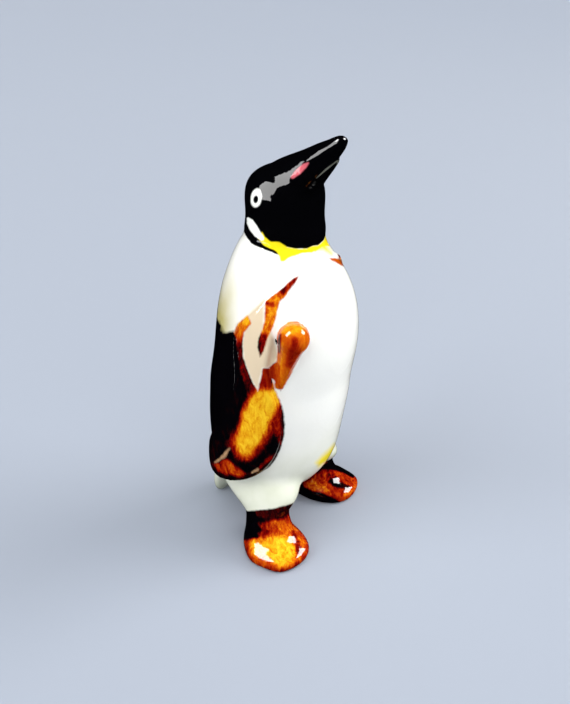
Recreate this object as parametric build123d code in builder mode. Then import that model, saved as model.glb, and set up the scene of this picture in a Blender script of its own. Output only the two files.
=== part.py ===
from build123d import *
from math import cos, radians, sin
import os

# Glazed earthenware figurine of a walking penguin that looks up and to its right, with
# a round-headed walking stick tucked under its right flipper. The torso and the head
# are hollow slip castings. The beak halves, thighs, feet, tail, flippers and stick are
# solid pressings luted on with slip, so each piece meets its neighbour face to face.
# Nothing on the figurine moves. It stands on both soles and on the tip of its tail.
# Millimetres. +Z is up from the ground, the penguin faces -Y and its right side is at
# -X. It is built round the axis of the torso, and last of all it moves so that the
# origin is on the ground under the middle of the whole figurine.

# Torso: its base hangs a little above the ankles, its top is measured from the ground
ankle_height = 9.3
base_above_ankle = 0.2
torso_base = ankle_height + base_above_ankle
torso_top = 69.0
torso_half_width = 15.9
torso_half_depth = 14.8
casting_wall = 2.6
vent_radius = 1.2

# Head: neck radius, height of the skull above the neck, turn to the penguin's right
neck_radius = 8.0
head_height = 13.8
head_turn = 11.0

# Beak: its axis starts inside the skull and rises forward at the pitch
beak_axis_rise = 8.7
beak_pitch = 36.0
beak_radius = 3.3
face_length = 10.5
face_blend = 3.0
beak_length = 8.6
mouth_drop = 0.7

# Legs and feet: the stance is a step, with the right foot ahead
half_foot_spacing = 11.5
stance_left = 1.0
half_stride = 1.95
stance_forward = 0.35
foot_splay = 35.0
ankle_radius = 4.7
toe_reach = 11.8
hip_rise = 12.8
hip_out = 6.5
hip_back = 4.5

# Tail: its root is sunk into the back of the torso, and its tip runs back to the ground
tail_root_height = 19.0
tail_root_sunk = 4.7
tail_tip_height = 0.2
tail_reach_back = 6.7
tail_half_width = 6.6
tail_half_thickness = 3.5

# Flippers: ways the outline, the shoulder and the tip face, as angles from straight
# ahead, and the thickness at the shoulder and at the tip
right_flipper_facing = 75.0
left_flipper_facing = 82.0
shoulder_facing = 60.0
tip_facing = 98.0
shoulder_thickness = 0.4
tip_thickness = 3.5

# Walking stick: ball of the handle and the shaft that runs in under the flipper
knob_radius = 3.05
knob_height = 53.4
knob_facing = 47.0
knob_proud = 1.0
stick_end_height = 40.5
stick_end_facing = 56.0

# One overrun serves all cuts
overrun = 2.0

# Torso rings, from the base up: height above the base as a share of the torso's height,
# forward shift as a share of the half depth, then shares of half width and half depth
torso_ring_shares = [
    (0.000, -0.42, 0.34, 0.32),
    (0.008, -0.42, 0.56, 0.52),
    (0.045, -0.38, 0.76, 0.74),
    (0.110, -0.29, 0.88, 0.87),
    (0.220, -0.22, 0.955, 0.95),
    (0.340, -0.18, 0.99, 0.99),
    (0.480, -0.12, 1.00, 1.00),
    (0.620, -0.02, 0.99, 0.99),
    (0.740, 0.00, 0.95, 0.95),
    (0.830, -0.02, 0.86, 0.86),
    (0.900, -0.06, 0.73, 0.735),
    (0.960, -0.09, 0.595, 0.605),
]
neck_shift_share = -0.05


def torso_rings(skin):
    """Torso rings as (height, forward, half width, half depth), pushed out by skin."""
    rise = torso_top - torso_base
    rings = [
        (
            torso_base + rise * height,
            torso_half_depth * forward,
            torso_half_width * width + skin,
            torso_half_depth * depth + skin,
        )
        for height, forward, width, depth in torso_ring_shares
    ]
    neck_shift = torso_half_depth * neck_shift_share
    rings.append((torso_top, neck_shift, neck_radius + skin, neck_radius + skin))
    return rings


def torso_skin_point(height, facing, proud):
    """Point proud of the torso's skin, at a height and facing radians from ahead to its right."""
    rings = torso_rings(proud)
    above = next(index for index, ring in enumerate(rings) if ring[0] >= height)
    low, high = rings[above - 1], rings[above]
    share = (height - low[0]) / (high[0] - low[0])
    forward, half_width, half_depth = (a + (b - a) * share for a, b in zip(low[1:], high[1:]))
    return Vector(-half_width * sin(facing), -forward - half_depth * cos(facing), height)


def stacked_rings(rings):
    """One solid through level ellipses."""
    with BuildPart() as body:
        for height, forward, half_width, half_depth in rings:
            with BuildSketch(Plane((0, -forward, height))):
                Ellipse(half_width, half_depth)
        loft()
    return body


# The cavity starts a wall above the base and opens at the neck
torso_solid = stacked_rings(torso_rings(0))
cavity_base = torso_base + casting_wall
torso_cavity = stacked_rings([ring for ring in torso_rings(-casting_wall) if ring[0] > cavity_base])
base_back = -torso_half_depth * torso_ring_shares[0][1]

with BuildPart() as torso:
    add(torso_solid.part)
    add(torso_cavity.part, mode=Mode.SUBTRACT)
    with BuildSketch(Plane((0, base_back, torso_base))):
        Circle(vent_radius)
    extrude(amount=casting_wall + overrun, both=True, mode=Mode.SUBTRACT)

# Skull rings, from the neck up: height as a share of the head's height, and radius as a
# share of the neck's
skull_ring_shares = [
    (0.00, 1.00),
    (0.25, 0.975),
    (0.58, 0.975),
    (0.75, 0.90),
    (0.87, 0.73),
    (0.95, 0.48),
    (1.00, 0.15),
]
# Face and beak rings: place along the axis and radius as shares
face_ring_shares = [(0.00, 1.68), (0.50, 1.40), (0.88, 1.085), (1.00, 1.00)]
beak_ring_shares = [
    (0.00, 1.00),
    (0.12, 0.93),
    (0.55, 0.66),
    (0.88, 0.45),
    (0.97, 0.33),
    (1.00, 0.12),
]

turn = radians(head_turn)
pitch = radians(beak_pitch)
head_frame = Plane(
    origin=(0, -torso_half_depth * neck_shift_share, torso_top),
    x_dir=(cos(turn), -sin(turn), 0),
    z_dir=(0, 0, 1),
)
face_frame = Plane(
    origin=head_frame.from_local_coords((0, 0, beak_axis_rise)),
    x_dir=head_frame.x_dir,
    z_dir=(-sin(turn) * cos(pitch), -cos(turn) * cos(pitch), sin(pitch)),
)


def round_rings(frame, length, radius, shares, skin=0.0):
    """One solid through circles along a frame's axis, pushed out by skin."""
    with BuildPart() as body:
        for place, share in shares:
            with BuildSketch(frame.offset(length * place)):
                Circle(radius * share + skin)
        loft()
    return body


skull = round_rings(head_frame, head_height, neck_radius, skull_ring_shares)
skull_cavity = round_rings(
    head_frame,
    head_height - casting_wall,
    neck_radius,
    skull_ring_shares[:-1],
    -casting_wall,
)
face = round_rings(face_frame, face_length, beak_radius, face_ring_shares)
with BuildPart() as head:
    add(skull.part)
    add(face.part)
    fillet(head.edges(Select.NEW), face_blend)
    add(skull_cavity.part, mode=Mode.SUBTRACT)

# The beak is two halves that meet along the mouth, a little below the beak's axis
beak_frame = face_frame.offset(face_length)
mouth_point = beak_frame.from_local_coords((0, -mouth_drop, 0))
mouth_plane = Plane(origin=mouth_point, x_dir=beak_frame.x_dir, z_dir=beak_frame.y_dir)
beak = round_rings(beak_frame, beak_length, beak_radius, beak_ring_shares)
with BuildPart() as upper_beak:
    add(beak.part)
    split(bisect_by=mouth_plane, keep=Keep.TOP)
with BuildPart() as lower_beak:
    add(beak.part)
    split(bisect_by=mouth_plane, keep=Keep.BOTTOM)

# Thigh rings from the ankle up: rise and way from ankle to hip as shares, then half
# width and half depth as shares of the ankle radius
thigh_ring_shares = [
    (0.00, 0.00, 1.00, 1.00),
    (0.08, 0.10, 1.05, 1.24),
    (0.20, 0.26, 1.18, 1.62),
    (0.38, 0.52, 1.35, 2.06),
    (0.65, 0.82, 1.42, 2.12),
    (1.00, 1.00, 1.30, 1.70),
]


def ankle_point(side):
    """Middle of one ankle on the ground; side is -1 on the penguin's right, +1 on its left."""
    return side * half_foot_spacing + stance_left, side * half_stride - stance_forward


def thigh(side):
    """One thigh, from its ankle to the torso."""
    with BuildPart() as leg:
        across, back = ankle_point(side)
        hip_height = torso_base + hip_rise
        for rise, lean, width, depth in thigh_ring_shares:
            middle = (
                across + (side * hip_out - across) * lean,
                back + (hip_back - back) * lean,
                ankle_height + (hip_height - ankle_height) * rise,
            )
            with BuildSketch(Plane(middle)):
                Ellipse(ankle_radius * width, ankle_radius * depth)
        loft()
        add(torso_solid.part, mode=Mode.SUBTRACT)
    return leg


# Sole outline: reach at even steps of angle as shares of the toe reach, from the middle
# toe round by the inner toe, the heel and the outer toe
sole_reach_shares = [
    0.96, 0.94, 0.87, 0.70, 0.56, 0.48, 0.46, 0.50,
    0.53, 0.50, 0.46, 0.45, 0.48, 0.55, 0.69, 0.81,
]
# Foot levels: height as a share of the ankle height, and how far the outline has drawn
# in from the sole to the ankle
foot_level_shares = [
    (0.00, 0.06),
    (0.12, 0.00),
    (0.24, 0.04),
    (0.34, 0.28),
    (0.45, 0.60),
    (0.62, 0.83),
    (0.82, 0.95),
]


def foot_outline(side, drawn_in):
    """Points round the foot at one level, between the sole's fan and the round ankle."""
    points = []
    for index, share in enumerate(sole_reach_shares):
        angle = -side * radians(360 * index / len(sole_reach_shares))
        reach = toe_reach * share * (1 - drawn_in) + ankle_radius * drawn_in
        points.append((reach * cos(angle), reach * sin(angle)))
    return points


def foot(side):
    """One webbed foot with its ankle and flat sole."""
    splay = radians(foot_splay) * side
    across, back = ankle_point(side)

    def level_plane(height):
        return Plane((across, back, height), x_dir=(sin(splay), -cos(splay), 0), z_dir=(0, 0, 1))

    with BuildPart() as paw:
        for level, drawn_in in foot_level_shares:
            with BuildSketch(level_plane(ankle_height * level)):
                with BuildLine():
                    Spline(foot_outline(side, drawn_in), periodic=True)
                make_face()
        with BuildSketch(level_plane(ankle_height)):
            Circle(ankle_radius)
        loft()
    return paw


right_thigh, left_thigh = thigh(-1), thigh(1)
right_foot, left_foot = foot(-1), foot(1)

# Tail: a wedge down the back to the ground, cut flat where it stands
tail_root = torso_skin_point(tail_root_height, radians(180), -tail_root_sunk)
tail_tip = Vector(tail_root.X, tail_root.Y + tail_reach_back, tail_tip_height)
tail_frame = Plane(origin=tail_root, x_dir=(1, 0, 0), z_dir=tail_tip - tail_root)
tail_ring_shares = [
    (0.00, 0.95, 1.10),
    (0.45, 1.00, 0.95),
    (0.75, 0.86, 0.68),
    (0.93, 0.64, 0.42),
    (1.04, 0.32, 0.15),
]

with BuildPart() as tail:
    for place, width, thickness in tail_ring_shares:
        with BuildSketch(tail_frame.offset((tail_tip - tail_root).length * place)):
            Ellipse(tail_half_width * width, tail_half_thickness * thickness)
    loft()
    split(bisect_by=Plane.XY, keep=Keep.TOP)
    for body in (torso_solid, right_thigh, left_thigh):
        add(body.part, mode=Mode.SUBTRACT)

# Flipper outline in its own plane: forward and up, as shares of the torso's half depth
# and height. It starts at the shoulder's point and runs down the front edge, round the
# swept-back tip and up the rear edge
flipper_shares = [
    (0.43, 0.925),
    (0.24, 0.85),
    (0.20, 0.72),
    (0.15, 0.62),
    (0.26, 0.48),
    (0.25, 0.33),
    (0.04, 0.215),
    (-0.45, 0.15),
    (-0.85, 0.155),
    (-0.90, 0.22),
    (-0.58, 0.40),
    (-0.32, 0.58),
    (-0.32, 0.74),
    (-0.05, 0.82),
    (0.20, 0.89),
]
flipper_pinch_share = 0.2


def flipper_swell(side):
    """Rings that swell out of the torso where the flipper lies, and sink in round it."""
    rise = torso_top - torso_base
    with BuildPart() as swell:
        for height, forward, half_width, half_depth in torso_rings(0):
            share = (height - torso_base) / rise
            facing = radians(tip_facing + (shoulder_facing - tip_facing) * share)
            thickness = tip_thickness + (shoulder_thickness - tip_thickness) * share
            out_x = (half_width * flipper_pinch_share + thickness) * sin(facing)
            out_y = (half_depth * flipper_pinch_share + thickness) * cos(facing)
            kept_share = 1 - flipper_pinch_share
            with BuildSketch(Plane((side * out_x, -forward - out_y, height))):
                Ellipse(half_width * kept_share, half_depth * kept_share)
        loft()
    return swell


def flipper(side, facing):
    """One flipper: its outline cut through the swelling at the torso's side."""
    out = Vector(side * sin(facing), -cos(facing), 0)
    front = Vector(-side * cos(facing), -sin(facing), 0)
    plane = Plane(origin=(0, 0, torso_base), x_dir=front, z_dir=front.cross(Vector(0, 0, 1)))
    swell = flipper_swell(side)
    with BuildPart() as wing:
        with BuildSketch(plane):
            with BuildLine():
                points = [
                    (torso_half_depth * forward, (torso_top - torso_base) * up)
                    for forward, up in flipper_shares
                ]
                Spline(points, periodic=True)
            make_face()
        extrude(amount=torso_half_width + tip_thickness + overrun, dir=out)
        add(swell.part, mode=Mode.INTERSECT)
        for body in (torso_solid, right_thigh, left_thigh):
            add(body.part, mode=Mode.SUBTRACT)
    return wing


right_flipper = flipper(-1, radians(right_flipper_facing))
left_flipper = flipper(1, radians(left_flipper_facing))


# Walking stick: a ball that runs down into a tapering shaft, turned about one axis
knob_centre = torso_skin_point(knob_height, radians(knob_facing), knob_proud)
stick_end = torso_skin_point(stick_end_height, radians(stick_end_facing), 0)
stick_axis = Axis(origin=stick_end, direction=knob_centre - stick_end)
stick_plane = Plane(
    origin=stick_end,
    x_dir=stick_axis.direction.cross(Vector(0, 0, 1)),
    z_dir=stick_axis.direction.cross(Vector(0, 0, 1)).cross(stick_axis.direction),
)
shaft_shares = [(0.87, -0.50), (0.60, -1.40), (0.40, -2.60), (0.20, -3.70)]

with BuildPart() as stick_handle:
    reach = (knob_centre - stick_end).length
    with BuildSketch(stick_plane):
        with BuildLine():
            shaft = [
                (knob_radius * out, reach + knob_radius * along)
                for out, along in shaft_shares
            ]
            ThreePointArc((0, reach + knob_radius), (knob_radius, reach), shaft[0])
            Spline(shaft)
            Polyline(shaft[-1], (0, shaft[-1][1]), (0, reach + knob_radius))
        make_face()
    revolve(axis=stick_axis)
    for body in (torso_solid, right_flipper):
        add(body.part, mode=Mode.SUBTRACT)

torso.part.label = "torso"
head.part.label = "head"
upper_beak.part.label = "upper_beak"
lower_beak.part.label = "lower_beak"
right_thigh.part.label = "right_thigh"
left_thigh.part.label = "left_thigh"
right_foot.part.label = "right_foot"
left_foot.part.label = "left_foot"
tail.part.label = "tail"
right_flipper.part.label = "right_flipper"
left_flipper.part.label = "left_flipper"
stick_handle.part.label = "stick_handle"

pieces = [
    torso, head, upper_beak, lower_beak, right_thigh, left_thigh,
    right_foot, left_foot, tail, right_flipper, left_flipper, stick_handle,
]

# The origin goes to the ground under the middle of the box round all the pieces
boxes = [piece.part.bounding_box() for piece in pieces]
middle_x = (min(box.min.X for box in boxes) + max(box.max.X for box in boxes)) / 2
middle_y = (min(box.min.Y for box in boxes) + max(box.max.Y for box in boxes)) / 2
os.makedirs("parts", exist_ok=True)
for piece in pieces:
    piece.part.position -= (middle_x, middle_y, 0)
    export_step(piece.part, f"parts/{piece.part.label}.step")
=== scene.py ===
import math
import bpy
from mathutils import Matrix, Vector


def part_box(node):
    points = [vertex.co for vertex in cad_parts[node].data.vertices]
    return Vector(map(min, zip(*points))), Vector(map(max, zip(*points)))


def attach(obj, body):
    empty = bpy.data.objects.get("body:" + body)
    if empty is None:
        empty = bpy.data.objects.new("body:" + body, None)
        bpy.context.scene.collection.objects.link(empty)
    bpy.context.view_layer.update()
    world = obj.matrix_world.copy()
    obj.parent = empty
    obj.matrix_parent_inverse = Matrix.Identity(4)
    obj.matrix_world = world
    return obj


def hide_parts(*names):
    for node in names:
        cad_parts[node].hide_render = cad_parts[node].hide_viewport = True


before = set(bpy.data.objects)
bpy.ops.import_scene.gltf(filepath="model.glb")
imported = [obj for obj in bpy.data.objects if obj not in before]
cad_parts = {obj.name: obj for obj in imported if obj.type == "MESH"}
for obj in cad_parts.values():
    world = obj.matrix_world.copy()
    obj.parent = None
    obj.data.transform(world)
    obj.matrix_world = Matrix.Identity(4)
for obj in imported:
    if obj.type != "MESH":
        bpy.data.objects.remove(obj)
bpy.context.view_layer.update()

from types import SimpleNamespace

import bpy
import numpy as np
import openvdb as vdb
from mathutils import Matrix, Vector

# Lengths are in millimetres until a mesh is made, and places in the photo are in its pixels.
PHOTO_SIZE = (570, 704)
PIXEL = 0.207  # of the figurine in one pixel of the photo
TORSO_AXIS = np.array([-0.9991, -2.6235, 0.0])  # where the torso's own axis stands in the frame
MIDDLE = (0, 0, 45)

# The glazed skin. The twelve clay forms are fused before firing, so their skins run into one
# another through soft slip-filled corners. Each form is read as a distance field, the fields are
# joined, the corners are filled and the sharp rims rounded, and the one skin is cut back into a
# piece for each form.

VOXEL = 0.25
BAND = 15  # cells on each side of a skin that know their distance to it
MARGIN = 4
BODY_CORNER = 3.0  # the slip between torso, head, thighs and tail
CORNER = 0.45  # the slip between all the others
RIM = 0.55
MOUTH_HALF_WIDTH, MOUTH_DEPTH, MOUTH_REACH = 0.15, 0.35, 0.7
CASTING_WALL = 2.6
CAP_DEPTH = 0.8
NORMAL_PASSES = 2

# The body's own forms come first, and the tail is the last of them.
SLOTS = {
    "torso": "white_glaze", "head": "black_glaze", "right_thigh": "white_glaze",
    "left_thigh": "white_glaze", "tail": "white_glaze", "upper_beak": "black_glaze",
    "lower_beak": "black_glaze", "right_flipper": "brown_glaze", "left_flipper": "brown_glaze",
    "right_foot": "brown_glaze", "left_foot": "brown_glaze", "stick_handle": "amber_glaze",
}
NODES = list(SLOTS)
LAST_OF_BODY = "tail"
HOLLOW = ("torso", "head")
OWN_FIELDS = ("upper_beak", "lower_beak", "right_flipper", "left_flipper", "stick_handle")
GRID = vdb.createLinearTransform(voxelSize=VOXEL)
CORNERS = np.array([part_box(name) for name in NODES]) * 1000
BOX_LOW = np.floor((CORNERS[:, 0].min(0) - MARGIN) / VOXEL).astype(int)
BOX_HIGH = np.ceil((CORNERS[:, 1].max(0) + MARGIN) / VOXEL).astype(int)
CELLS = tuple(BOX_HIGH - BOX_LOW)
FIRST_CELL = tuple(int(i) for i in BOX_LOW)


def node_triangles(name):
    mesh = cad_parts[name].data
    mesh.calc_loop_triangles()
    places = np.empty(len(mesh.vertices) * 3, np.float32)
    mesh.vertices.foreach_get("co", places)
    corners = np.empty(len(mesh.loop_triangles) * 3, np.int32)
    mesh.loop_triangles.foreach_get("vertices", corners)
    return places.reshape(-1, 3) * 1000, corners.reshape(-1, 3).astype(np.uint32)


def distance_field(places, **faces):
    """Distance to a closed skin of triangles or quads on the dense grid, negative inside."""
    grid = vdb.FloatGrid.createLevelSetFromPolygons(places, transform=GRID, halfWidth=BAND, **faces)
    field = np.zeros(CELLS, np.float32)
    grid.copyToArray(field, ijk=FIRST_CELL)
    return field


def skin(field, level=0.0):
    """The points and quads of the surface where the field has this value."""
    grid = vdb.FloatGrid(BAND * VOXEL)
    grid.copyFromArray(field, ijk=FIRST_CELL)
    grid.transform = GRID
    return grid.convertToQuads(isovalue=level)


def out_and_back(field, reach):
    """Fills corners tighter than reach, or with a negative reach rounds rims that are sharper."""
    places, quads = skin(field, reach)
    return distance_field(places, quads=quads) + reach


def without_hollow(field, floor):
    """Fills what a casting surrounds on four sides above its floor, so only its outside is left."""
    clay = field < 0
    around = np.ones_like(clay)
    for axis in (0, 1):
        around &= np.maximum.accumulate(clay, axis)
        around &= np.flip(np.maximum.accumulate(np.flip(clay, axis), axis), axis)
    level = int(floor / VOXEL) - BOX_LOW[2]
    around[:, :, :level] = False
    return np.where(around & ~clay, -BAND * VOXEL, field).astype(np.float32)


def fused_skin():
    """The fused field, the number of the nearest form in each cell, and some forms' own fields."""
    whole = np.full(CELLS, BAND * VOXEL, np.float32)
    owner = np.zeros(CELLS, np.uint8)
    kept = {}
    for number, name in enumerate(NODES):
        places, triangles = node_triangles(name)
        field = distance_field(places, triangles=triangles)
        if name in HOLLOW:
            field = without_hollow(field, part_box(name)[0].z * 1000 + CASTING_WALL)
        if name in OWN_FIELDS:
            kept[name] = field
        owner[field < whole] = number
        np.minimum(whole, field, out=whole)
        if name == LAST_OF_BODY:
            body = out_and_back(whole, BODY_CORNER)
    np.minimum(whole, body, out=whole)
    del body
    whole = out_and_back(whole, CORNER)
    upper, lower = kept["upper_beak"], kept["lower_beak"]
    line = np.maximum(np.abs(upper - lower) / 2 - MOUTH_HALF_WIDTH,
                      np.maximum(upper, lower) - MOUTH_REACH)
    groove = np.maximum(line, -(whole + MOUTH_DEPTH))
    whole = np.maximum(whole, -groove)
    whole = out_and_back(whole, -RIM)
    return whole, owner, kept


def sampled(field, places):
    """The field between its cells."""
    cells = places / VOXEL - BOX_LOW
    base = np.floor(cells).astype(int)
    part = cells - base
    total = 0
    for corner in np.ndindex(2, 2, 2):
        share = np.prod(np.where(corner, part, 1 - part), axis=1)
        i, j, k = (base + corner).T
        total = total + field[i, j, k] * share
    return total


def slopes(field, places):
    """The outward direction of the skin at each point."""
    soft = field
    for axis in (0, 1, 2) * NORMAL_PASSES:
        soft = (np.roll(soft, 1, axis) + 2 * soft + np.roll(soft, -1, axis)) / 4
    steps = VOXEL * np.eye(3)
    ways = [sampled(soft, places + one) - sampled(soft, places - one) for one in steps]
    ways = np.stack(ways, axis=1)
    return ways / np.linalg.norm(ways, axis=1, keepdims=True)


whole, owner, own_fields = fused_skin()
points, quads = skin(whole)
quads = quads.astype(np.int64)
normals = slopes(whole, points)

# Where the paint lies. A stroke is given by its places in the photo, and a point of the skin is
# looked up there through the photo's camera, which is given from the torso's axis. The far side
# takes the strokes of its twin on the near side, mirrored across the torso, or across the turned
# head above the shoulders. Each layer holds how many pixels a point lies inside its paint.

EYE = np.array([-112.4, -83.95, 112.5])
FOCAL = 735
PITCH = math.radians(26.4)
AHEAD_X, AHEAD_Y = 0.799, 0.602
RIGHT = np.array([AHEAD_Y, -AHEAD_X, 0.0])
LOOK = np.array([AHEAD_X * math.cos(PITCH), AHEAD_Y * math.cos(PITCH), -math.sin(PITCH)])
UP = np.cross(RIGHT, LOOK)
HEAD_TURN, FLIPPER_LAG = math.radians(11), math.radians(7)
NECK_Y, NECK_HEIGHTS = 0.74, (63, 67.5)
NAPE = 70.4
BACK_TOP, BACK_FOOT = 52.4, 18.5
ANKLES = {"right": (-10.5, -2.3), "left": (12.5, 1.6)}
FOOT_TOP, FOOT_REACH, FOOT_HEIGHT = 11.2, 13.5, 14
FACE_ON = 25  # what a point that faces the camera counts, so that it compares with pixels
BY_FLIPPER = 3
UNPAINTED = -60
BLACK_TONE, FAINT, MOTTLED = 0, 0.4, 1.0


def step(low, high, value):
    share = np.clip((value - low) / (high - low), 0, 1)
    return share * share * (3 - 2 * share)


def turned_by(xy, angle):
    c, s = np.cos(angle), np.sin(angle)
    return np.stack([xy[:, 0] * c - xy[:, 1] * s, xy[:, 0] * s + xy[:, 1] * c], axis=1)


def near_side_twin(places, ways, on_left_flipper):
    """Each point's twin on the penguin's right, and which points had to be mirrored for it."""
    places, ways = places.copy(), ways.copy()
    turn = HEAD_TURN * step(*NECK_HEIGHTS, places[:, 2]) * (1 - on_left_flipper)
    left = np.stack([np.cos(turn), -np.sin(turn)], axis=1)
    out = ((places[:, :2] - (0, NECK_Y)) * left).sum(1)
    mirrored = out > 0
    places[:, :2] -= np.where(mirrored, 2 * out, 0)[:, None] * left
    ways[:, :2] -= np.where(mirrored, 2 * (ways[:, :2] * left).sum(1), 0)[:, None] * left
    lag = np.where(mirrored, FLIPPER_LAG * on_left_flipper, 0)
    places[:, :2] = turned_by(places[:, :2], lag)
    ways[:, :2] = turned_by(ways[:, :2], lag)
    return places, ways, mirrored


def in_photo(places):
    off = places - EYE
    deep = off @ LOOK
    middle_x, middle_y = (side / 2 for side in PHOTO_SIZE)
    return middle_x + FOCAL * (off @ RIGHT) / deep, middle_y - FOCAL * (off @ UP) / deep


def facing(places, ways):
    """1 where the skin faces the photo's camera, 0 at its outline and less behind it."""
    off = EYE - places
    return (off * ways).sum(1) / np.linalg.norm(off, axis=1)


def along_line(x, y, start, end):
    """How far along a line each place lies, from 0 to 1, and its distance from the line."""
    (ax, ay), (bx, by) = start, end
    share = ((x - ax) * (bx - ax) + (y - ay) * (by - ay)) / ((bx - ax) ** 2 + (by - ay) ** 2)
    share = np.clip(share, 0, 1)
    return share, np.hypot(x - ax - share * (bx - ax), y - ay - share * (by - ay))


def blob(x, y, middle_x, middle_y, reach_x, reach_y, tilt=0):
    """Pixels inside an ellipse's edge, tilted clockwise by degrees."""
    c, s = math.cos(math.radians(tilt)), math.sin(math.radians(tilt))
    across = (x - middle_x) * c + (y - middle_y) * s
    along = (y - middle_y) * c - (x - middle_x) * s
    return (1 - np.hypot(across / reach_x, along / reach_y)) * min(reach_x, reach_y)


def patch(x, y, *corners):
    """Pixels inside a polygon's edge."""
    nearest = np.full(len(x), 1e9)
    inside = np.zeros(len(x), bool)
    for start, end in zip(corners, corners[1:] + corners[:1]):
        nearest = np.minimum(nearest, along_line(x, y, start, end)[1])
        (ax, ay), (bx, by) = start, end
        if ay != by:
            cross = (ay > y) != (by > y)
            inside ^= cross & (x < (bx - ax) * (y - ay) / (by - ay) + ax)
    return np.where(inside, nearest, -nearest)


def stroke(x, y, *dabs):
    """Pixels inside a brush stroke through dabs of (x, y, half width)."""
    best = np.full(len(x), -1e9)
    for (*start, wide), (*end, wide_end) in zip(dabs, dabs[1:]):
        share, away = along_line(x, y, start, end)
        best = np.maximum(best, wide + share * (wide_end - wide) - away)
    return best


def skin_places():
    """What the paint asks of each point of the skin.

    x and y are the photo place of its twin on the near side, px and py its own.
    """
    places = points - TORSO_AXIS
    right_flipper, left_flipper = (sampled(own_fields[name], points)
                                   for name in ("right_flipper", "left_flipper"))
    near, ways, mirrored = near_side_twin(places, normals, step(1.5, 0.5, left_flipper))
    x, y = in_photo(near)
    px, py = in_photo(places)
    return SimpleNamespace(
        places=places, mirrored=mirrored, x=x, y=y, px=px, py=py,
        seen=facing(near, ways) * FACE_ON, seen_here=facing(places, normals) * FACE_ON,
        height=near[:, 2],
        round_by=np.degrees(np.arctan2(-near[:, 0], -(near[:, 1] - NECK_Y))),
        off_flipper=np.minimum(right_flipper, left_flipper) / PIXEL,
        stick=1.3 - sampled(own_fields["stick_handle"], points) / PIXEL)


def on_right_foot(at):
    """Each point's place on the right foot, with the left foot's points folded over to it."""
    left = at.places[:, 0] > 1
    (right_x, right_y), (left_x, left_y) = ANKLES["right"], ANKLES["left"]
    foot_x = np.where(left, right_x - at.places[:, 0] + left_x, at.places[:, 0])
    foot_y = np.where(left, at.places[:, 1] - left_y + right_y, at.places[:, 1])
    ways = np.where(left[:, None], normals * (-1, 1, 1), normals)
    places = np.stack([foot_x, foot_y, at.places[:, 2]], axis=1)
    x, y = in_photo(places)
    line = y - np.interp(x, (230, 247, 270, 289, 310), (512.5, 511, 509.3, 504.5, 496))
    brown = np.where((facing(places, ways) > 0.15) & ~left, line,
                     (FOOT_TOP - at.places[:, 2]) / PIXEL)
    near = np.hypot(foot_x - right_x, foot_y - right_y) < FOOT_REACH
    brown = np.where(near & (at.places[:, 2] < FOOT_HEIGHT), brown, UNPAINTED)
    return SimpleNamespace(x=x, y=y, left=left, brown=brown)


def head_layers(at):
    """Black to the throat, ear and nape, the eye, the ear's marks, and a painted highlight on the
    lip.
    """
    x, y, seen = at.x, at.y, at.seen
    head = patch(
        x, y, (200, 100), (420, 100), (420, 190), (340, 222), (323.5, 237), (314.5, 245),
        (307, 248.6), (295, 248.6), (287, 247), (281.5, 250), (279.5, 255), (274.5, 253.6),
        (267, 250.2), (257, 246.4), (250.8, 243), (245.5, 235.5), (242, 227.5), (200, 227.5))
    nape = (at.height - NAPE) / PIXEL
    crescent = stroke(
        x, y, (248.3, 218.8, 1.4), (250.4, 222.4, 3.4), (253.4, 227.8, 4.1), (257.6, 233.8, 3.6),
        (261.6, 238.4, 2.4))
    eye = blob(x, y, 256.3, 198, 5.5, 9.4, 8)
    pupil = blob(x, y, 255.8, 199.3, 2.4, 3.8, 8)
    ear = patch(
        x, y, (257.5, 238), (262, 231.5), (264.5, 236.8), (270.8, 241.8), (279.5, 242),
        (287, 247), (295, 248.8), (307, 248.8), (314.5, 245.4), (323.5, 237), (327, 238.5),
        (325, 243), (319.5, 249), (312, 252.4), (302, 253.2), (294.5, 255.4), (289, 257.6),
        (284, 261), (280.5, 261.2), (280, 257), (276.5, 251.5), (270, 248.2), (263.3, 244.6))
    # a painted highlight: a pale line along the mouth on the beak
    lip_highlight = stroke(x, y, (316.5, 178, 0.2), (326, 169.5, 0.7), (337.5, 160.5, 0.3))
    pink = stroke(x, y, (292.5, 177, 1.6), (299, 171, 3.0), (305, 165.5, 2.2), (308, 163, 1.0))
    return {
        "black": np.where(seen > 2, head, np.minimum(nape, 6)),
        "white": np.minimum(np.maximum(eye, crescent), seen),
        "pupil": np.minimum(pupil, seen),
        "yellow": np.minimum(ear, seen),
        "lip_highlight": np.minimum(lip_highlight, seen),
        "pink": np.minimum(pink, seen),
    }


def body_layers(at):
    """Pale yellow at the shoulder and the belly's foot, olive shade, and painted shade low down."""
    fade = patch(at.px, at.py, (322, 239), (328, 240), (337, 254), (332, 260), (322, 254),
                 (310, 254))
    belly = patch(at.px, at.py, (334, 444), (341, 446), (336, 456), (327, 462), (319, 467),
                  (316, 463), (322, 456), (329, 450))
    belly = np.minimum(belly, (6 - at.places[:, 0]) / PIXEL)
    return {
        "tint": np.minimum(np.maximum(fade - 4, belly), at.seen_here),
        "shade": step(66, 52.5, at.height) * step(48, 51, at.height) * step(84, 112, at.round_by),
        # painted shade: the white glaze darker and greener towards the bottom
        "low_shade": step(34, 10, at.height),
    }


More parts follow.
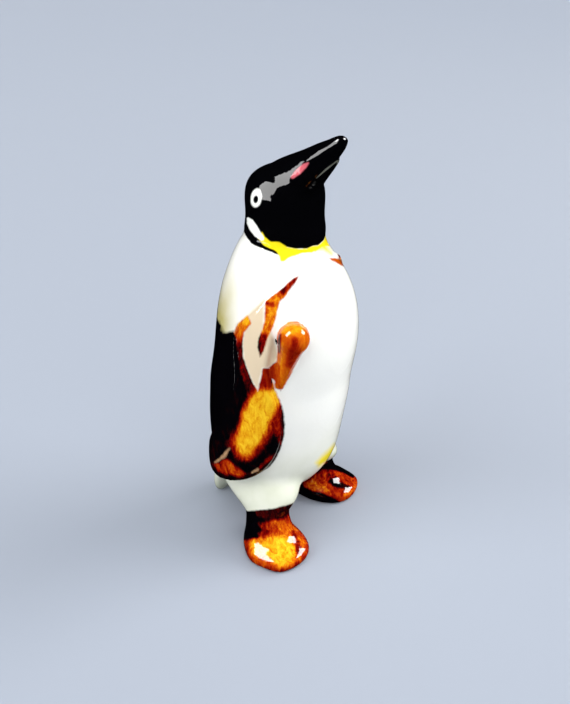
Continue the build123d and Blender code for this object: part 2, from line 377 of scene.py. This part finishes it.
def brown_areas(at):
    """The strokes round the bare middle of a flipper, its lobe, and the paint next to them."""
    x, y = at.x, at.y
    return SimpleNamespace(
        front=patch(
            x, y, (300, 274.5), (292, 279.5), (279, 291), (265, 300.8), (264.4, 320),
            (261.4, 331.4), (258.1, 338.6), (257.3, 347), (260, 357.4), (263.6, 351.4),
            (267.1, 338.6), (273.6, 325.7), (276.4, 314.3), (279.3, 301.4), (285, 296.4),
            (293.6, 285.7)),
        rear=patch(
            x, y, (247.5, 315), (235.7, 326), (233.4, 331), (236, 340), (237, 352),
            (239.5, 368), (244, 383), (247, 396), (256, 396), (257.9, 391), (253.6, 384.3),
            (247.9, 371.4), (243.6, 358.6), (242.4, 342.9), (244.3, 332.1), (251.4, 323.6)),
        block=patch(x, y, (262.9, 368.6), (271, 368), (274, 380), (275, 394), (257, 394),
                    (259.6, 383)),
        lobe=np.where(at.seen > 0, y - 391, (41.5 - at.height) / PIXEL),
        far_tip=np.minimum(
            patch(at.px, at.py, (328.5, 258.6), (333, 257.8), (339, 258.6), (344, 262.4),
                  (347, 267), (341, 265.4), (335, 262)),
            at.seen_here + 3),
        bare=patch(
            x, y, (264, 299.5), (236, 325), (244, 332), (242, 343), (243.5, 361),
            (251.5, 381), (257.9, 392), (262.5, 368.6), (271, 367.5), (276.5, 361.5),
            (278.5, 355), (277, 348), (274, 338), (270.5, 331), (264, 335)),
        link=np.minimum(
            patch(at.px, at.py, (269, 367), (277, 361), (279.5, 365), (279.5, 376),
                  (281, 391), (278, 387), (273, 379.5), (269, 378)),
            at.seen_here),
        beside=patch(x, y, (180, 318), (219, 320.5), (223.6, 333), (236, 330.5), (238, 345),
                     (241, 360), (246, 376), (250, 394), (250, 420), (240, 470), (180, 470)),
        ochre=patch(
            x, y, (256, 386), (277, 386), (281, 402), (276.5, 411), (272, 420), (269, 429),
            (264, 437.5), (259, 446), (253, 454), (247, 459), (239, 453), (234, 445),
            (237, 432.5), (241, 420), (243, 411), (248, 400), (254, 393)))


def black_back(at, beside):
    """The black of the back, from the shoulder blades down to the tail."""
    top = BACK_TOP + 1.8 * step(120, 175, at.round_by)
    back = np.minimum((top - at.height) / PIXEL, (at.round_by - 100) * 1.3)
    behind_flipper = np.maximum(beside, np.minimum(back, (at.round_by - 112) * 1.3))
    back = np.where((at.seen > 3) & (at.round_by < 150), behind_flipper, back)
    foot = BACK_FOOT - 4 * step(125, 180, at.round_by)
    return np.minimum(back, (at.height - foot) / PIXEL)


def toned(tone, *changes):
    """Changes a tone inside shapes, each given as (change, low, high, pixels inside the shape).

    A tone is a place on the ramp BROWNS: 0 is black, 0.25 crimson, 0.5 red brown, 0.7 orange and
    0.9 ochre.
    """
    for change, low, high, inside in changes:
        tone = tone + change * step(low, high, inside)
    return tone


def stroke_tone(at, areas):
    x, y = at.x, at.y
    tone = toned(
        0.65,
        (-0.34, -3, 2, stroke(x, y, (299, 275, 1), (290, 285, 3), (283, 291, 3))),
        (-0.34, -3, 2, patch(x, y, (258, 334), (268, 334), (264, 352), (260, 360), (256, 348))),
        (-0.28, -2, 2, stroke(x, y, (265, 303, 2), (273, 305, 2))),
        (0.10, -2, 2, blob(x, y, 244, 321, 6, 5)))
    tone -= 0.42 * step(330, 346, y) * step(262, 250, x)
    tone -= 0.20 * step(1.5, -1.5, areas.rear) * step(326, 340, y) * step(262, 250, x)
    return np.where(areas.block > -1, 0.37, tone)


def lobe_tone(at, ochre):
    x, y = at.x, at.y
    rim = patch(x, y, (275, 398), (281, 412), (283, 430), (281, 446), (277, 440), (273, 430),
                (276, 416))
    dark = patch(x, y, (279, 436), (276, 447), (267, 456), (256, 466), (246, 472), (236, 465),
                 (240, 461), (251, 461), (260, 454), (267, 446), (272, 438))
    tip = patch(x, y, (213, 464), (227, 459), (235, 466), (246, 474), (241, 477), (228, 475),
                (218, 471))
    lower_rim = stroke(x, y, (275, 455, 1.5), (266, 462, 2), (258, 469, 1))
    tone = toned(0.04, (0.34, -9, -2, ochre), (0.50, -3, 5, ochre))
    halo = step(-10, -3, ochre) * (1 - step(-4, -1, ochre))
    tone -= 0.34 * halo * step(250, 240, x) * step(440, 420, y)
    tone = np.maximum(tone, 0.32 * step(-3, 2, rim))
    tone *= 1 - 0.92 * step(-2, 3, dark)
    tone = np.maximum(tone, 0.26 * step(-2, 1, lower_rim))
    tone = np.maximum(tone, 0.42 * step(-3, 2, tip))
    # a painted highlight: a lighter spot near the flipper's tip
    return tone + 0.14 * step(-2, 2, blob(x, y, 231, 467, 4, 5, -30)) * step(456, 460, y)


def stick_tone(at):
    px, py = at.px, at.py
    return toned(
        0.62,
        (0.14, -4, 3, blob(px, py, 291, 329, 11, 6, -10)),
        (0.08, -3, 3, stroke(px, py, (282, 344, 1.5), (282, 360, 2), (280, 380, 2))),
        (-0.22, -4, 3, stroke(px, py, (295, 341, 3), (294, 353, 5.5), (289, 364, 3))),
        # painted shade: a dark line in the crease at the knob's left edge
        (-0.5, -2, 1, stroke(px, py, (279.9, 335, 0.4), (279.2, 343, 0.8), (279.2, 352, 0.4))))


def foot_tone(at, foot):
    x, y, px, py = foot.x, foot.y, at.px, at.py
    middle = np.maximum(blob(x, y, 275, 546, 22, 9, -8), blob(x, y, 281, 554, 12, 13))
    ankle = patch(x, y, (250, 498), (300, 490), (292, 512), (283, 519), (262, 521), (252, 520))
    below = patch(x, y, (252, 518), (268, 520), (272, 532), (262, 537), (250, 537))
    side = patch(x, y, (235, 500), (254, 506), (253, 513), (257, 520), (255, 524), (261, 530),
                 (256, 533), (257, 537), (249, 538), (235, 541))
    toe = stroke(x, y, (293, 532, 1.5), (297, 543, 3.4), (299, 552, 2.4))
    sole = blob(x, y, 277, 545, 28, 24)
    tone = np.where(foot.left, 0.44, 0.58)
    tone += 0.30 * step(-5, 4, middle) * ~foot.left
    tone = toned(tone, (-0.30, -3, 2, ankle), (-0.22, -3, 2, below), (-0.6, -3, 2, side),
                 (-0.36, -1.5, 1.5, toe))
    tone -= 0.16 * step(3, -4, sole) * ~foot.left
    # painted shadow under the left foot's inner edge; behind is the black paint on its far toe
    shadow_under = patch(px, py, (296, 480), (303, 487), (312, 492), (322, 494), (333, 499),
                  (345, 506), (296, 506))
    behind = patch(px, py, (314, 450), (334, 450), (355, 470), (353, 477), (343, 472),
                   (333, 469), (320, 467))
    warm = patch(px, py, (303, 481), (311, 480), (324, 484), (330, 491), (324, 493), (311, 490))
    warm = np.maximum(warm, stroke(px, py, (346, 494, 2), (354, 489, 3), (358, 482, 2)))
    web = stroke(px, py, (324, 468, 3), (334, 478, 4), (337, 488, 3))
    tone += 0.16 * step(-2, 2, warm) * foot.left
    tone -= 0.6 * step(-2, 1, np.minimum(np.maximum(shadow_under, behind), at.seen_here)) * foot.left
    return tone - 0.14 * step(-2, 3, web) * foot.left


def brown_layers(at):
    """Brown and black paint with its tone, painted shade on the bare glaze and painted highlights.
    """
    foot, areas = on_right_foot(at), brown_areas(at)
    strokes = np.maximum(np.maximum(areas.front, areas.rear), np.maximum(areas.block, areas.lobe))
    on_flipper = np.minimum(strokes, 2.2 - at.off_flipper)
    back = black_back(at, areas.beside)
    paint = [on_flipper, areas.far_tip, at.stick, areas.link, back * 0.5, foot.brown]
    # painted highlights: pale streaks along the flipper's lower edge by its tip
    tip_highlight = stroke(at.x, at.y, (215.5, 462, 0.8), (223, 457, 1.6), (229, 449, 0.8))
    tip_highlight = np.maximum(tip_highlight, stroke(at.x, at.y, (252.5, 472.5, 0.8), (257.5, 469.8, 0.8)))

    upper = stroke_tone(at, areas)
    tone = upper + (lobe_tone(at, areas.ochre) - upper) * step(384, 394, at.y)
    next_to_back = (areas.beside > -1) & (at.height > 22) & (at.y < 440)
    tone = np.where(next_to_back & (areas.rear < 0) & (areas.ochre < -6), BLACK_TONE, tone)
    mottle = np.where((areas.block > -1) & (at.y < 386), FAINT, MOTTLED)
    tone = np.where(at.off_flipper < BY_FLIPPER, tone, BLACK_TONE)
    mottle = np.where(at.off_flipper < BY_FLIPPER, mottle, 0)
    tone = np.where(areas.far_tip > -2, 0.6, tone)
    tone = np.where(at.stick > -2, stick_tone(at), tone)
    tone = np.where(areas.link > 0, 0.44 + 0.1 * step(272, 278, at.px), tone)
    mottle = np.where((at.stick > -2) | (areas.link > -1), FAINT, mottle)
    return {
        # painted shade: the bare white between the strokes and in the crease by the stick, in cream
        "bare_shade": np.minimum(areas.bare, np.where(at.mirrored, 1.5 - at.off_flipper, at.seen)),
        "paint": np.maximum.reduce(paint),
        "tip_highlight": np.minimum(tip_highlight, np.minimum(at.seen, 1 - 2 * at.off_flipper)),
        "tone": np.where(foot.brown > -3, foot_tone(at, foot), tone),
        "mottle": np.where(foot.brown > -3, MOTTLED, mottle),
    }


at = skin_places()
layers = {**head_layers(at), **body_layers(at), **brown_layers(at)}


def open_rims(faces):
    """The open rims of a set of quads, each as a list of points in order."""
    edges = set()
    for quad in faces.tolist():
        edges.update(zip(quad, quad[1:] + quad[:1]))
    follow = {}
    for a, b in edges:
        if (b, a) not in edges:
            follow.setdefault(b, []).append(a)
    rims = []
    while follow:
        rim, here = [], next(iter(follow))
        while here in follow:
            rim.append(here)
            nexts = follow[here]
            there = nexts.pop()
            if not nexts:
                del follow[here]
            here = there
        if len(rim) > 2:
            rims.append(rim)
    return rims


def piece(name, faces):
    """One form's share of the skin, closed inside the clay by fans."""
    used, local = np.unique(faces, return_inverse=True)
    local = local.reshape(faces.shape)
    places = [tuple(p) for p in points[used] / 1000]
    ways = [tuple(n) for n in normals[used]]
    polygons = local.tolist()
    hubs = []
    for rim in open_rims(local):
        inward = normals[used][rim].mean(0)
        hub = len(places)
        hubs.append(used[rim[0]])
        places.append(tuple((points[used][rim].mean(0) - CAP_DEPTH * inward) / 1000))
        ways.append(tuple(-inward))
        polygons += [(hub, a, b) for a, b in zip(rim, rim[1:] + rim[:1])]
    mesh = bpy.data.meshes.new(name + "_glazed")
    mesh.from_pydata(places, [], polygons)
    mesh.update()
    mesh.shade_smooth()
    mesh.normals_split_custom_set_from_vertices(ways)
    for title, values in layers.items():
        held = mesh.attributes.new(title, "FLOAT", "POINT")
        values = np.concatenate([values[used], values[hubs]])
        held.data.foreach_set("value", values.astype(np.float32))
    ob = bpy.data.objects.new(name + "_glazed", mesh)
    bpy.context.scene.collection.objects.link(ob)
    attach(ob, "root")
    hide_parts(name)
    return ob


middles = points[quads].mean(1)
cell = np.rint(middles / VOXEL).astype(int) - BOX_LOW
belongs = owner[cell[:, 0], cell[:, 1], cell[:, 2]]
pieces = {name: piece(name, quads[belongs == number]) for number, name in enumerate(NODES)}

# The glaze: white body, shaky-edged coats of paint, painted shade and highlights, a glossy clear
# coat.

CLEAR_WHITE, WARM_WHITE = (0.86, 0.86, 0.82), (0.84, 0.83, 0.74)
LOW_SHADE_COLOUR, SHADED = (0.55, 0.58, 0.44), (0.50, 0.44, 0.17)
DEEP_YELLOW, PALE_YELLOW = (0.90, 0.62, 0.004), (0.93, 0.83, 0.02)
BLACK, EYE_WHITE = (0.001, 0.001, 0.0015), (0.92, 0.93, 0.86)
BARE_SHADE_COLOUR, TIP_HIGHLIGHT_COLOUR = (0.62, 0.48, 0.30), (0.72, 0.42, 0.22)
PINK, LIP_HIGHLIGHT_COLOUR = (0.72, 0.14, 0.17), (0.34, 0.34, 0.27)
BROWNS = (
    (0.05, (0.001, 0.0008, 0.0015)), (0.20, (0.04, 0.0015, 0.0015)), (0.34, (0.17, 0.001, 0.001)),
    (0.50, (0.37, 0.023, 0.002)), (0.66, (0.56, 0.11, 0.003)), (0.80, (0.72, 0.31, 0.006)),
    (1.0, (0.85, 0.52, 0.02)),
)
EDGE_WOBBLE = 2.2
MOTTLING, SPECKLE = 1.15, 0.22


class Shades:
    """Short ways to lay out a material's nodes."""

    def __init__(self, title):
        self.material = bpy.data.materials.new(title)
        self.material.use_nodes = True
        self.tree = self.material.node_tree
        self.shader = self.tree.nodes["Principled BSDF"]

    def put(self, socket, value):
        if hasattr(value, "is_linked"):
            self.tree.links.new(value, socket)
        elif socket.type == "RGBA":
            socket.default_value = (*value, 1)
        else:
            socket.default_value = value

    def node(self, kind, out=0, settings=None, **values):
        made = self.tree.nodes.new(kind)
        for name, value in (settings or {}).items():
            setattr(made, name, value)
        for name, value in values.items():
            self.put(made.inputs[name], value)
        return made.outputs[out]

    def math(self, way, first, second=0.0, clamp=False):
        made = self.tree.nodes.new("ShaderNodeMath")
        made.operation, made.use_clamp = way, clamp
        self.put(made.inputs[0], first)
        self.put(made.inputs[1], second)
        return made.outputs[0]

    def times(self, first, second):
        return self.math("MULTIPLY", first, second)

    def plus(self, first, second):
        return self.math("ADD", first, second)

    def field(self, name):
        return self.node("ShaderNodeAttribute", "Fac", {"attribute_name": name})

    def noise(self, place, scale, detail=3.0, rough=0.5, distort=0.0):
        return self.node("ShaderNodeTexNoise", "Fac", Vector=place, Scale=scale, Detail=detail,
                         Roughness=rough, Distortion=distort)

    def mask(self, amount, soft):
        return self.math("ADD", self.math("DIVIDE", amount, soft), 0.5, clamp=True)

    def mix(self, share, first, second):
        made = self.tree.nodes.new("ShaderNodeMix")
        made.data_type = "RGBA"
        for socket, value in zip((0, 6, 7), (share, first, second)):
            self.put(made.inputs[socket], value)
        return made.outputs[2]

    def ramp(self, share, stops):
        made = self.tree.nodes.new("ShaderNodeValToRGB")
        self.put(made.inputs[0], share)
        while len(made.color_ramp.elements) < len(stops):
            made.color_ramp.elements.new(0.5)
        for element, (place, colour) in zip(made.color_ramp.elements, stops):
            element.position = place
            element.color = (*colour, 1)
        return made.outputs[0]


def brown_paint(s, streak, fine):
    """The browns, streaked where the brush dragged them."""
    shifted = s.times(s.math("SUBTRACT", streak, 0.5), MOTTLING)
    speck = s.times(s.math("SUBTRACT", fine, 0.5), SPECKLE)
    shift = s.times(s.plus(shifted, speck), s.field("mottle"))
    tone = s.plus(s.field("tone"), s.times(shift, s.mask(s.field("tone"), 0.6)))
    return s.ramp(tone, BROWNS)


def painted_glaze(title):
    s = Shades(title)
    place = s.node("ShaderNodeTexCoord", "Object")
    stretched = s.node("ShaderNodeMapping", Vector=place, Scale=(1.0, 1.0, 0.35))
    broad = s.noise(place, 160)
    edge = s.noise(place, 700, rough=0.6)
    fine = s.noise(place, 2200, detail=2, rough=0.6)
    streak = s.noise(stretched, 800, detail=5, rough=0.68, distort=0.8)
    wobble = s.times(s.math("SUBTRACT", edge, 0.5), EDGE_WOBBLE)

    colour = s.mix(s.times(broad, 0.5), CLEAR_WHITE, WARM_WHITE)
    # painted shade: the white darker and greener towards the bottom
    colour = s.mix(s.times(s.field("low_shade"), s.plus(broad, 0.25)), colour, LOW_SHADE_COLOUR)
    colour = s.mix(s.times(s.field("shade"), s.plus(broad, 0.35)), colour, SHADED)
    yellow = s.mix(edge, DEEP_YELLOW, PALE_YELLOW)
    brown = brown_paint(s, streak, fine)
    # the cream coat is painted shade, and the pale coats by the flipper's tip and on the lip are
    # painted highlights
    # each coat's layer, softness and shakiness of its edge, how well it covers, and its colour
    for name, soft, shaky, cover, paint in (
            ("bare_shade", 4, 1.0, 0.85, BARE_SHADE_COLOUR), ("tint", 5, 1.0, 0.95, yellow),
            ("paint", 1.6, 1.1, 1.0, brown), ("tip_highlight", 2.2, 2.0, 0.62, TIP_HIGHLIGHT_COLOUR),
            ("black", 1.0, 0.8, 1.0, BLACK), ("yellow", 1.4, 0.8, 1.0, yellow),
            ("white", 1.2, 0.5, 1.0, EYE_WHITE), ("pupil", 0.8, 0.3, 1.0, BLACK),
            ("pink", 1.6, 0.8, 1.0, PINK), ("lip_highlight", 1.2, 0.3, 0.7, LIP_HIGHLIGHT_COLOUR)):
        shaken = s.plus(s.field(name), s.times(wobble, shaky))
        colour = s.mix(s.times(s.mask(shaken, soft), cover), colour, paint)
    s.put(s.shader.inputs["Base Color"], colour)
    s.put(s.shader.inputs["Roughness"], s.plus(s.times(fine, 0.12), 0.2))
    s.shader.inputs["Coat Weight"].default_value = 1.0
    s.shader.inputs["Coat Roughness"].default_value = 0.04
    s.shader.inputs["Coat IOR"].default_value = 1.4
    s.shader.inputs["Specular IOR Level"].default_value = 0.0
    ripple = s.plus(broad, s.times(edge, 0.12))
    bump = s.node("ShaderNodeBump", "Normal", Height=ripple, Strength=0.25, Distance=0.0006)
    s.put(s.shader.inputs["Normal"], bump)
    s.put(s.shader.inputs["Coat Normal"], bump)
    return s.material


glazes = {name: painted_glaze(name) for name in sorted(set(SLOTS.values()))}
for name, ob in pieces.items():
    ob.data.materials.append(glazes[SLOTS[name]])

# Camera, lights and floor. Neither the floor nor the sky shows in the glaze, because they would
# turn the black head grey. The head has a card of its own to mirror.

SENSOR = 36
FLOOR_HALF = 12.0  # in metres
FLOOR_COLOUR = (0.31, 0.345, 0.41, 1)
SKY_COLOUR, SKY_STRENGTH = (0.92, 0.92, 0.92, 1), 0.28


def camera():
    data = bpy.data.cameras.new("camera")
    data.sensor_width = SENSOR
    data.sensor_fit = "VERTICAL"
    data.sensor_height = SENSOR
    data.lens = FOCAL / PHOTO_SIZE[1] * SENSOR
    data.clip_start = 0.005
    ob = bpy.data.objects.new("camera", data)
    bpy.context.scene.collection.objects.link(ob)
    turn = Matrix((RIGHT, UP, -LOOK)).transposed().to_4x4()
    ob.matrix_world = Matrix.Translation(Vector((EYE + TORSO_AXIS) / 1000)) @ turn
    bpy.context.scene.camera = ob


def hang(data, name, place):
    """Puts a light at its place, turned to the middle of the figurine."""
    ob = bpy.data.objects.new(name, data)
    bpy.context.scene.collection.objects.link(ob)
    ob.location = Vector(place) / 1000
    ob.rotation_euler = (Vector(MIDDLE) - Vector(place)).to_track_quat("-Z", "Y").to_euler()
    return ob


def window(name, place, width, height, power, lights=None):
    """A soft light that only shows mirrored in the glaze, of all the pieces or of those named."""
    data = bpy.data.lights.new(name, "AREA")
    data.shape = "RECTANGLE"
    data.size, data.size_y = width / 1000, height / 1000
    data.energy = power
    ob = hang(data, name, place)
    ob.visible_diffuse = False
    if lights:
        lit = bpy.data.collections.new("lit_by_" + name)
        for piece_name in lights:
            lit.objects.link(pieces[piece_name])
        ob.light_linking.receiver_collection = lit


def sky_light(name, place, spread, power):
    """Even light from a wide patch of sky, which doesn't show in the glaze."""
    data = bpy.data.lights.new(name, "SUN")
    data.angle = math.radians(spread)
    data.energy = power
    hang(data, name, place).visible_glossy = False


def floor():
    mesh = bpy.data.meshes.new("floor")
    corners = [(-1, -1), (1, -1), (1, 1), (-1, 1)]
    mesh.from_pydata([(x * FLOOR_HALF, y * FLOOR_HALF, 0) for x, y in corners], [],
                     [(0, 1, 2, 3)])
    ob = bpy.data.objects.new("floor", mesh)
    bpy.context.scene.collection.objects.link(ob)
    ob.visible_glossy = False
    material = bpy.data.materials.new("floor_paper")
    material.use_nodes = True
    shader = material.node_tree.nodes["Principled BSDF"]
    shader.inputs["Base Color"].default_value = FLOOR_COLOUR
    shader.inputs["Roughness"].default_value = 0.9
    mesh.materials.append(material)


def sky():
    world = bpy.data.worlds.new("studio")
    bpy.context.scene.world = world
    world.use_nodes = True
    background = world.node_tree.nodes["Background"]
    background.inputs["Color"].default_value = SKY_COLOUR
    background.inputs["Strength"].default_value = SKY_STRENGTH
    world.cycles_visibility.glossy = False


camera()
floor()
window("window_left", (-711, 394, 873), width=440, height=760, power=29,
       lights=[name for name in NODES if name != "head"])
window("window_right", (740, -620, 720), width=560, height=480, power=21)
window("card_for_head", (-179, 72, 163), width=185, height=245, power=1.55,
       lights=["head", "upper_beak", "lower_beak"])
sky_light("ceiling", (-100, -200, 900), spread=60, power=2.0)
sky_light("from_front", (-480, -560, 480), spread=60, power=1.0)
sky_light("from_left", (-880, 400, 620), spread=50, power=2.0)
sky_light("from_right", (770, -700, 500), spread=50, power=2.9)
sky()
bpy.context.scene.view_settings.view_transform = "Standard"
bpy.context.scene.cycles.use_denoising = True
